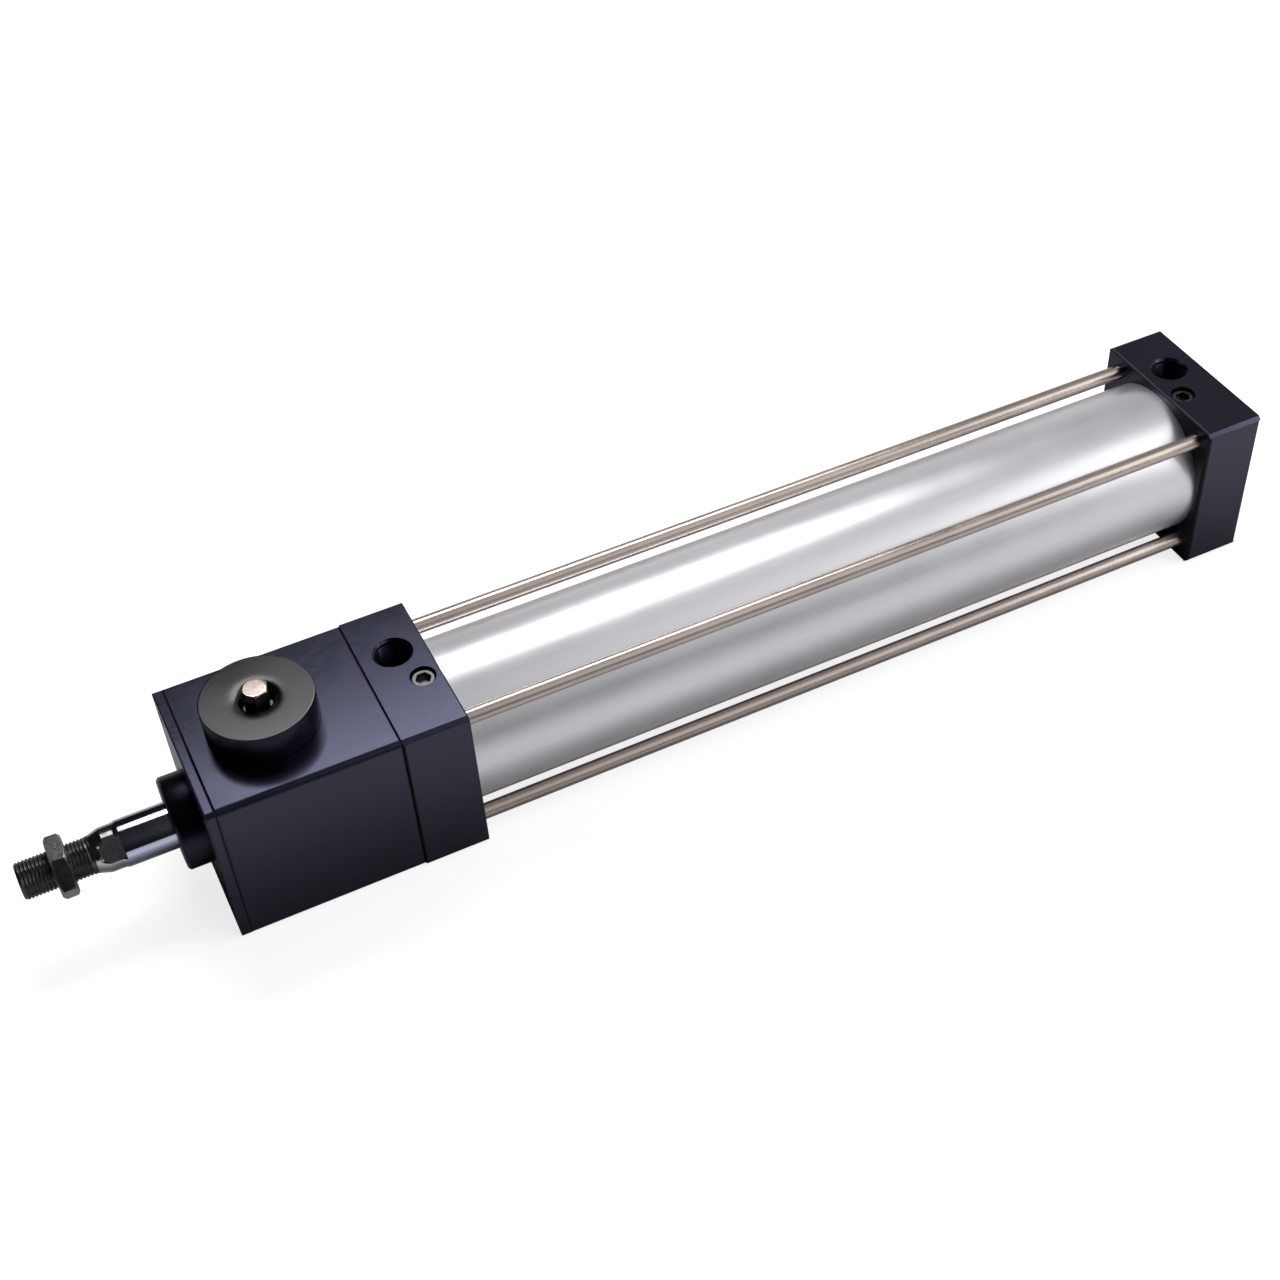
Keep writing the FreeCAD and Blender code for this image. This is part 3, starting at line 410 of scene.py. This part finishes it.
def to_mesh(form, name):
    """Ends the form and makes it a mesh that is smooth but for its sharp edges."""
    for face in form.faces:
        face.smooth = True
    mesh = bpy.data.meshes.new(name)
    form.to_mesh(mesh)
    form.free()
    mesh.set_sharp_from_angle(angle=SHARP_ABOVE)
    return mesh


def raise_up(mesh, along, across=0.0):
    """Stands a mesh that was turned about X up along Z, over a place on the cylinder."""
    upright = Matrix.Rotation(-math.pi / 2, 4, "Y")
    mesh.transform(Matrix.Translation((along, across, 0.0)) @ upright)


def show(name, mesh, body, materials, nodes=()):
    """Puts a piece in the scene on its body, with its finish and the nodes that it stands for."""
    piece = bpy.data.objects.new(name, mesh)
    bpy.context.scene.collection.objects.link(piece)
    for material in materials:
        mesh.materials.append(finish(material))
    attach(piece, body)
    if nodes:
        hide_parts(*nodes)
    return piece


def soften(piece, width, weighted=False):
    """Breaks the sharp edges of a piece, as a file or a tumbling drum does.

    If weighted, each edge takes the share of width that weigh_edges marked, in the edges' finish
    with its bluer painted highlight.
    """
    edges = piece.modifiers.new("Broken edges", "BEVEL")
    edges.width = width
    edges.segments = 3 if weighted else 2
    edges.limit_method = "WEIGHT" if weighted else "ANGLE"
    edges.angle_limit = BROKEN_ABOVE
    edges.harden_normals = True
    edges.use_clamp_overlap = not weighted
    edges.material = EDGE_SLOT if weighted else -1
    normals = piece.modifiers.new("Even normals", "WEIGHTED_NORMAL")
    normals.keep_sharp = True


def copied_mesh(node, name):
    """The node's shape as one welded mesh with whole flat faces."""
    weld, flat = 0.000002, math.radians(0.4)
    form = bmesh.new()
    form.from_mesh(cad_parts[node].data)
    bmesh.ops.remove_doubles(form, verts=form.verts, dist=weld)
    bmesh.ops.dissolve_limit(form, angle_limit=flat, verts=form.verts, edges=form.edges,
                             use_dissolve_boundaries=False)
    return to_mesh(form, name)


def show_copy(node, name, body, material="nut_steel"):
    """Puts a steel node's own shape in the scene as a piece."""
    return show(name, copied_mesh(node, name), body, (material,), (node,))


def in_side(edge, box, axis):
    """Whether an edge lies in one of the two sides of the box across an axis."""
    near = 0.00005
    return any(all(abs(vert.co[axis] - corner[axis]) < near for vert in edge.verts)
               for corner in box)


def weigh_edges(mesh, box, joint, bore, all_round):
    """Marks the outer edges of a block for the full width and its other sharp ones for a share.

    The outer edges are the long ones along X, or, if all_round, all twelve of the block. The
    other long ones get the share joint, and those of holes and seats the share bore.
    """
    least = 0.03
    form = bmesh.new()
    form.from_mesh(mesh)
    weight = form.edges.layers.float.new("bevel_weight_edge")
    for edge in form.edges:
        if len(edge.link_faces) != 2 or edge.calc_face_angle(0.0) < BROKEN_ABOVE:
            continue
        beside, above = in_side(edge, box, 1), in_side(edge, box, 2)
        long = edge.calc_length() > least and (beside or above)
        outer = beside and above or all_round and long
        edge[weight] = 1.0 if outer else joint if long else bore
    form.to_mesh(mesh)
    form.free()


def paint_joint_shade(piece, front, back):
    """Applies a block's modifiers and paints shade, as in the gap of a joint, on its broken edges
    round its front or back end.
    """
    slant = 0.25
    graph = bpy.context.evaluated_depsgraph_get()
    mesh = bpy.data.meshes.new_from_object(
        piece.evaluated_get(graph), preserve_all_data_layers=True, depsgraph=graph)
    piece.modifiers.clear()
    piece.data = mesh
    for face in mesh.polygons:
        facing = face.normal.x
        at_joint = front and facing < -slant or back and facing > slant
        if face.material_index == EDGE_SLOT and at_joint:
            face.material_index = JOINT_SHADE_SLOT


def dress_node(node, material):
    """Gives a carried-over node its finish."""
    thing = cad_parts[node]
    if not thing.material_slots:
        thing.data.materials.append(finish(material))
    for place in thing.material_slots:
        place.link = "OBJECT"
        place.material = finish(material)


def groove(turn):
    """Depth of a thread's groove, from 0 on the crest to 1 at the root, at part of a turn."""
    flat = 0.14
    wave = abs(2.0 * (turn % 1.0) - 1.0)
    return min(1.0, max(0.0, (wave - flat) / (1.0 - 2.0 * flat)))


def stations(start, end, step):
    """Places from start to end, about a step apart."""
    count = max(1, round((end - start) / step))
    return [start + (end - start) * index / count for index in range(count + 1)]


# The pieces

class CYLINDER_OT_studio(Operator):
    """Sets up the floor, the lamps, the sky and the camera"""
    bl_idname = "cylinder.studio"
    bl_label = "Studio"

    def execute(self, context):
        scene = context.scene
        studio = scene.cylinder_studio
        self.add_camera(scene)
        self.add_floor(scene, studio)
        for name, settings in LAMPS.items():
            self.add_lamp(scene, name, getattr(studio, name), *settings)
        self.add_sky(scene, studio)
        scene.view_settings.view_transform = "Standard"
        return {"FINISHED"}

    def add_camera(self, scene):
        data = bpy.data.cameras.new("camera")
        data.lens = LENS
        data.sensor_width = SENSOR
        data.sensor_fit = "HORIZONTAL"
        data.clip_start = 0.01
        camera = bpy.data.objects.new("camera", data)
        axes = Matrix(CAMERA_AXES).transposed().to_4x4()
        camera.matrix_world = Matrix.Translation(CAMERA_PLACE) @ axes
        scene.collection.objects.link(camera)
        scene.camera = camera

    def add_floor(self, scene, studio):
        """A plain floor that glows for the camera, and for glossy rays in front of the part; the
        glossy glow fades out towards the part as a painted shadow in its reflections.
        """
        half, middle = studio.floor_wide / 2, 0.2
        glow_level, mirror_level, glow_start, glow_full = 0.80, 0.38, -0.04, -0.10
        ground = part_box("rear_head")[0].z
        mesh = bpy.data.meshes.new("floor")
        corners = [(-half, -half), (half, -half), (half, half), (-half, half)]
        mesh.from_pydata([(x + middle, y, ground) for x, y in corners], [], [(0, 1, 2, 3)])
        floor = bpy.data.objects.new("floor", mesh)
        material = bpy.data.materials.new("floor_white")
        material.use_nodes = True
        tree = material.node_tree
        shader = tree.nodes["Principled BSDF"]
        shader.inputs["Base Color"].default_value = (*studio.floor_shade, 1.0)
        shader.inputs["Roughness"].default_value = 0.9
        shader.inputs["Specular IOR Level"].default_value = 0.0
        rays = add_node(tree, "ShaderNodeLightPath").outputs
        spot = add_node(tree, "ShaderNodeTexCoord").outputs["Object"]
        across = add_node(tree, "ShaderNodeSeparateXYZ", {0: spot}).outputs["Y"]
        # Painted shadow: the glossy glow fades to nothing towards the part's near side
        before = add_range(tree, across, glow_start, glow_full, 0.0, mirror_level)
        mirrored = add_math(tree, "MULTIPLY", rays["Is Glossy Ray"], before)
        seen = add_math(tree, "ADD", rays["Is Camera Ray"], rays["Is Transmission Ray"])
        seen = add_math(tree, "ADD", seen, mirrored)
        strength = add_math(tree, "MULTIPLY", seen, glow_level)
        glow = add_node(tree, "ShaderNodeEmission", {
            "Color": (1.0, 1.0, 1.0, 1.0), "Strength": strength})
        both = add_node(tree, "ShaderNodeAddShader", {0: shader.outputs[0], 1: glow.outputs[0]})
        tree.links.new(both.outputs[0], tree.nodes["Material Output"].inputs["Surface"])
        mesh.materials.append(material)
        scene.collection.objects.link(floor)

    def add_lamp(self, scene, name, power, place, facing, wide, deep):
        data = bpy.data.lights.new(name, "AREA")
        data.shape = "RECTANGLE"
        data.size = wide
        data.size_y = deep
        data.energy = power
        lamp = bpy.data.objects.new(name, data)
        turned = (-Vector(facing)).to_track_quat("Z", "Y").to_matrix().to_4x4()
        lamp.matrix_world = Matrix.Translation(place) @ turned
        scene.collection.objects.link(lamp)

    def add_sky(self, scene, studio):
        """White for the camera, and for the part a backdrop behind and a room to the right."""
        sky = bpy.data.worlds.new("sky")
        sky.use_nodes = True
        tree = sky.node_tree
        rays = add_node(tree, "ShaderNodeLightPath").outputs
        spot = add_node(tree, "ShaderNodeTexCoord").outputs["Generated"]
        way = add_node(tree, "ShaderNodeSeparateXYZ", {0: spot}).outputs
        near = add_range(tree, way["Y"], 0.5, -0.5, 0.0, 1.0)
        right = add_range(tree, way["X"], 0.04, 0.24, 0.015, 1.0)
        low_bright = add_range(tree, way["Z"], 0.15, 0.55, 1.0, 0.4)
        high_bright = add_range(tree, way["Z"], 0.25, 0.60, 0.3, 1.0)
        backdrop = add_math(tree, "MULTIPLY", low_bright, studio.far_sky)
        room = add_math(tree, "MULTIPLY", high_bright, studio.near_sky)
        around = add_node(tree, "ShaderNodeMix", {0: near, 2: backdrop, 3: room},
                          data_type="FLOAT").outputs[0]
        plain = add_math(tree, "MULTIPLY", around, right)
        seen = add_math(tree, "ADD", rays["Is Camera Ray"], rays["Is Transmission Ray"])
        strength = add_node(tree, "ShaderNodeMix", {0: seen, 2: plain, 3: 1.0},
                            data_type="FLOAT").outputs[0]
        back = tree.nodes["Background"]
        back.inputs["Color"].default_value = (1.0, 1.0, 1.0, 1.0)
        tree.links.new(strength, back.inputs["Strength"])
        scene.world = sky


class CYLINDER_OT_blocks(Operator):
    """Adds the cover plate, the lock body and the two heads with broken edges"""
    bl_idname = "cylinder.blocks"
    bl_label = "Heads and lock body"

    def execute(self, context):
        sizes = context.scene.cylinder_sizes
        for node in ("front_cover", "lock_body", "front_head", "rear_head"):
            mesh = copied_mesh(node, node + "_block")
            rounded = node == "rear_head"
            piece = show(node + "_block", mesh, "barrel",
                         ("black_anodised", "black_edges", "black_turned", "joint_black"),
                         (node,))
            if rounded:
                for face in mesh.polygons:
                    face.material_index = INNER_SLOT if face.normal.x < -0.9 else 0
            width = sizes.rear_edge if rounded else sizes.block_edge
            weigh_edges(mesh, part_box(node), joint=sizes.face_edge / width,
                        bore=sizes.small_edge / width, all_round=rounded)
            soften(piece, width, weighted=True)
            paint_joint_shade(piece, front=node in ("front_head", "rear_head"),
                          back=node in ("lock_body", "rear_head"))
        return {"FINISHED"}


class CYLINDER_OT_ports(Operator):
    """Adds the thread in each of the two ports"""
    bl_idname = "cylinder.ports"
    bl_label = "Port threads"

    def execute(self, context):
        sizes = context.scene.cylinder_sizes
        for name, along in PORT_PLACES:
            mesh = self.thread_mesh(name, sizes)
            raise_up(mesh, along, PORT_ACROSS)
            show(name, mesh, "barrel", ("black_turned",))
        return {"FINISHED"}

    def thread_mesh(self, name, sizes):
        top, base, wall, thick, steps = 0.0372, 0.0240, 0.00750, 0.0002, 64
        pitch, deep = sizes.port_pitch, sizes.port_depth

        def radius(along, angle, outer):
            if outer > wall:
                return outer
            fade = min(1.0, max(0.0, (top - along) / pitch))
            return wall - deep * (1.0 - groove(along / pitch - angle / math.tau)) * fade

        inner = [(along, wall) for along in stations(base, top, pitch / 8)]
        profile = inner + [(top, wall + thick), (base, wall + thick)]
        return turned_mesh(name, profile, steps, closed=True, shape=radius)


class CYLINDER_OT_gland(Operator):
    """Adds the turned rod gland with its pilot boss"""
    bl_idname = "cylinder.gland"
    bl_label = "Rod gland"

    def execute(self, context):
        steps = context.scene.cylinder_sizes.round_steps
        free, seat, seal = 0.0106, 0.01204, 0.014
        # The boss, the neck in the cover plate, the flange and the nose, then the bore
        profile = [
            (-0.0105, seal), (-0.0105, 0.0188), (-0.0104, 0.0190), (-0.0096, 0.0199),
            (-0.0094, 0.0200), (0.0, 0.0200), (0.0, 0.0210), (0.0045, 0.0210),
            (0.0045, 0.02845), (0.0150, 0.02845), (0.0150, 0.0150), (0.0297, 0.0150),
            (0.0297, free), (0.0252, free), (0.0252, seat), (-0.0008, seat),
            (-0.0008, free), (-0.0065, free), (-0.0065, seal)]
        mesh = turned_mesh("rod_gland_turned", profile, steps, closed=True)
        show("rod_gland_turned", mesh, "barrel", ("black_turned",),
             ("rod_gland",))
        return {"FINISHED"}


class CYLINDER_OT_release(Operator):
    """Adds the release cap and its hexagon post"""
    bl_idname = "cylinder.release"
    bl_label = "Release cap and post"

    def execute(self, context):
        sizes = context.scene.cylinder_sizes
        mesh = self.cap_mesh(sizes.round_steps)
        show("release_cap_turned", mesh, "barrel",
             ("cap_black", "black_turned"), ("release_cap",))
        mesh = copied_mesh("release_cam", "release_post")
        crown = max(vert.co.z for vert in mesh.vertices) - 0.002
        # Painted shade: the post's sides take the dark screw steel, and only its crown keeps the
        # bright steel
        for face in mesh.polygons:
            face.material_index = 0 if face.normal.z > 0.5 and face.center.z > crown else 1
        post = show("release_post", mesh, "cam",
                    ("bright_steel", "screw_steel"), ("release_cam",))
        soften(post, sizes.small_edge)
        return {"FINISHED"}

    def cap_mesh(self, steps):
        """The cap, with a hollow round the post that levels out to the rim, and painted shade on
        its side in a darker, duller black.
        """
        foot, seat, top = 0.0341, 0.0381, 0.0521
        low_cut, cut, small_cut = 0.0003, 0.00025, 0.00008
        hole, neck, rim, wide = 0.00584, 0.0130, 0.02255, 0.02325
        deep, steepness, rings, spacing = 0.0041, 12.0, 24, 1.5
        shares = [(index / rings) ** spacing for index in range(rings + 1)]
        dish = [(top - deep * (1.0 - share) ** steepness, hole + (rim - hole) * share)
                for share in shares]
        profile = [
            (foot, hole), (foot, neck), (seat, neck), (seat, wide - low_cut),
            (seat + low_cut, wide), (top - cut, wide), (top - small_cut, wide - small_cut),
            (top, wide - cut), (top, rim + 0.0001)] + dish[::-1]
        mesh = turned_mesh("release_cap_turned", profile, steps, closed=True)
        raise_up(mesh, CAP_PLACE)
        # Painted shade: the side takes the darker, duller black_turned finish, so that it stays
        # dark
        for face in mesh.polygons:
            face.material_index = 1 if abs(face.normal.z) < 0.3 else 0
        return mesh


class CYLINDER_OT_tube(Operator):
    """Adds the bright round tube"""
    bl_idname = "cylinder.tube"
    bl_label = "Tube"

    def execute(self, context):
        low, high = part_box("cylinder_tube")
        inner, outer, cut, margin, step = 0.0315, 0.0355, 0.0004, 0.01, 0.03
        profile = [(low.x, inner + cut), (low.x, outer - cut), (low.x + cut, outer)]
        profile += [(along, outer)
                    for along in stations(low.x + margin, high.x - margin, step)]
        profile += [
            (high.x - cut, outer), (high.x, outer - cut), (high.x, inner + cut),
            (high.x - cut, inner), (low.x + cut, inner)]
        steps = context.scene.cylinder_sizes.round_steps
        mesh = turned_mesh("tube_drawn", profile, steps, closed=True)
        show("tube_drawn", mesh, "barrel", ("clear_anodised",),
             ("cylinder_tube",))
        return {"FINISHED"}


class CYLINDER_OT_tie_rods(Operator):
    """Adds the four tie rods with rolled threads and their eight slotted nuts"""
    bl_idname = "cylinder.tie_rods"
    bl_label = "Tie rods and nuts"

    def execute(self, context):
        sizes = context.scene.cylinder_sizes
        for index in range(1, 5):
            node = "tie_rod_%d" % index
            low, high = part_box(node)
            mesh = self.rod_mesh(node + "_rolled", low.x, high.x, sizes)
            middle = (low + high) / 2
            mesh.transform(Matrix.Translation((0.0, middle.y, middle.z)))
            show(node + "_rolled", mesh, "barrel", ("tie_steel",), (node,))
        nuts = show_copy("tie_rod_nuts", "tie_nuts_slotted", "barrel")
        soften(nuts, sizes.small_edge)
        return {"FINISHED"}

    def rod_mesh(self, name, start, end, sizes):
        plain, crest, threaded, cut = 0.0034, 0.0035, 0.018, 0.0008
        pitch, deep, steps = sizes.tie_pitch, sizes.tie_depth, 40
        gap, ring = 0.0004, 0.02

        def radius(along, angle, outer):
            inside = min(along - start, end - along)
            if inside >= threaded:
                return outer
            fade = min(1.0, max(0.0, (threaded - inside) / pitch))
            cut_back = max(0.0, cut - inside)
            return crest - deep * groove(along / pitch - angle / math.tau) * fade - cut_back

        first = stations(start, start + threaded, pitch / 6)
        last = stations(end - threaded, end, pitch / 6)
        middle = stations(start + threaded + gap, end - threaded - gap, ring)
        profile = [(start, 0.0)] + [(along, crest) for along in first]
        profile += [(along, plain) for along in middle]
        profile += [(along, crest) for along in last] + [(end, 0.0)]
        return turned_mesh(name, profile, steps, shape=radius)


class CYLINDER_OT_rod(Operator):
    """Adds the chromed piston rod with its flats, cone and thread, and the jam nut"""
    bl_idname = "cylinder.rod"
    bl_label = "Piston rod and jam nut"

    def execute(self, context):
        sizes = context.scene.cylinder_sizes
        dull_end, plain_end = -0.0433, -0.0315  # Where the thread's and the neck's finishes end
        mesh = self.rod_mesh(sizes)
        show("piston_rod_ground", mesh, "rod",
             ("chromed_steel", "thread_steel", "neck_steel"), ("piston_rod",))
        for face in mesh.polygons:
            along = face.center.x
            face.material_index = 1 if along < dull_end else 2 if along < plain_end else 0
        nut = show_copy("rod_jam_nut", "jam_nut_hexagon", "jam_nut")
        soften(nut, sizes.small_edge)
        return {"FINISHED"}

    def rod_mesh(self, sizes):
        low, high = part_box("piston_rod")
        tip, tail = low.x, high.x
        thread_end, cone_end, neck_end, chrome = -0.0435, -0.0385, -0.0330, -0.0315
        flat_start, flat_end, flat, turn = -0.0410, -0.0312, 0.0080, math.radians(140.0)
        sleeve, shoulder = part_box("cushion_sleeves")[0].x, 0.0070
        crest, neck, wide, cut = 0.0080, 0.0095, 0.0100, 0.0010
        pitch, deep, steps = sizes.rod_pitch, sizes.rod_depth, 96
        gap, ring, wide_gap, wide_ring, shift = 0.0003, 0.0005, 0.0004, 0.03, 0.00001

        def radius(along, angle, outer):
            if along <= thread_end:
                fade = min(1.0, (thread_end - along) / (pitch * 1.5))
                cut_back = max(0.0, cut - (along - tip))
                thread = crest - deep * groove(along / pitch - angle / math.tau) * fade
                return min(thread, crest - cut_back)
            if flat_start <= along <= flat_end:
                facing = max(abs(math.cos(angle - turn)), 0.01)
                return min(outer, flat / facing)
            return outer

        def cone(along):
            if along < cone_end:
                return crest + (neck - crest) * (along - thread_end) / (cone_end - thread_end)
            return neck + (wide - neck) * max(0.0, (along - neck_end) / (chrome - neck_end))

        profile = [(tip, 0.0)]
        profile += [(along, crest) for along in stations(tip, thread_end, pitch / 8)]
        for start, end in ((thread_end, cone_end), (cone_end, chrome)):
            profile += [(along, cone(along)) for along in stations(start + gap, end, ring)]
        profile += [(flat_end, wide), (flat_end + shift, wide)]
        profile += [(along, wide)
                    for along in stations(flat_end + wide_gap, sleeve, wide_ring)]
        profile += [
            (sleeve, shoulder), (tail - cut, shoulder), (tail, shoulder - cut), (tail, 0.0)]
        return turned_mesh("piston_rod_ground", profile, steps, shape=radius)


class CYLINDER_OT_screws(Operator):
    """Adds the two cushion screws with their hexagon sockets"""
    bl_idname = "cylinder.screws"
    bl_label = "Cushion screws"

    def execute(self, context):
        sizes = context.scene.cylinder_sizes
        for end in ("front", "rear"):
            screw = show_copy(end + "_cushion_needle", end + "_cushion_screw", end + "_needle",
                              "screw_steel")
            soften(screw, sizes.small_edge)
        return {"FINISHED"}


class CYLINDER_OT_inside(Operator):
    """Gives the inner pieces their finishes and adds the disc springs"""
    bl_idname = "cylinder.inside"
    bl_label = "Inner pieces"

    def execute(self, context):
        for material, nodes in INNER_FINISHES.items():
            for node in nodes:
                dress_node(node, material)
        springs = show_copy("disc_springs", "disc_springs_coned", "barrel")
        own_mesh(springs)
        return {"FINISHED"}


class CYLINDER_PT_pieces(Panel):
    """Lists the pieces of the air cylinder"""
    bl_idname = "CYLINDER_PT_pieces"
    bl_label = "Air cylinder"
    bl_space_type = "VIEW_3D"
    bl_region_type = "UI"
    bl_category = "Air cylinder"

    def draw(self, context):
        scene = context.scene
        for operator in OPERATORS:
            self.layout.operator(operator.bl_idname)
        for group in (scene.cylinder_sizes, scene.cylinder_colours, scene.cylinder_studio):
            box = self.layout.box()
            for name in group.__annotations__:
                box.prop(group, name)


GROUPS = (CylinderSizes, CylinderColours, StudioSettings)
OPERATORS = (
    CYLINDER_OT_studio, CYLINDER_OT_blocks, CYLINDER_OT_ports, CYLINDER_OT_gland,
    CYLINDER_OT_release, CYLINDER_OT_tube, CYLINDER_OT_tie_rods, CYLINDER_OT_rod,
    CYLINDER_OT_screws, CYLINDER_OT_inside)


def register():
    for group in GROUPS + OPERATORS + (CYLINDER_PT_pieces,):
        bpy.utils.register_class(group)
    bpy.types.Scene.cylinder_sizes = PointerProperty(type=CylinderSizes)
    bpy.types.Scene.cylinder_colours = PointerProperty(type=CylinderColours)
    bpy.types.Scene.cylinder_studio = PointerProperty(type=StudioSettings)


def unregister():
    del bpy.types.Scene.cylinder_studio
    del bpy.types.Scene.cylinder_colours
    del bpy.types.Scene.cylinder_sizes
    for group in reversed(GROUPS + OPERATORS + (CYLINDER_PT_pieces,)):
        bpy.utils.unregister_class(group)


def main():
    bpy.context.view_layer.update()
    register()
    make_materials(bpy.context.scene)
    bpy.ops.cylinder.studio()
    bpy.ops.cylinder.blocks()
    bpy.ops.cylinder.ports()
    bpy.ops.cylinder.gland()
    bpy.ops.cylinder.release()
    bpy.ops.cylinder.tube()
    bpy.ops.cylinder.tie_rods()
    bpy.ops.cylinder.rod()
    bpy.ops.cylinder.screws()
    bpy.ops.cylinder.inside()


if __name__ == "__main__":
    main()
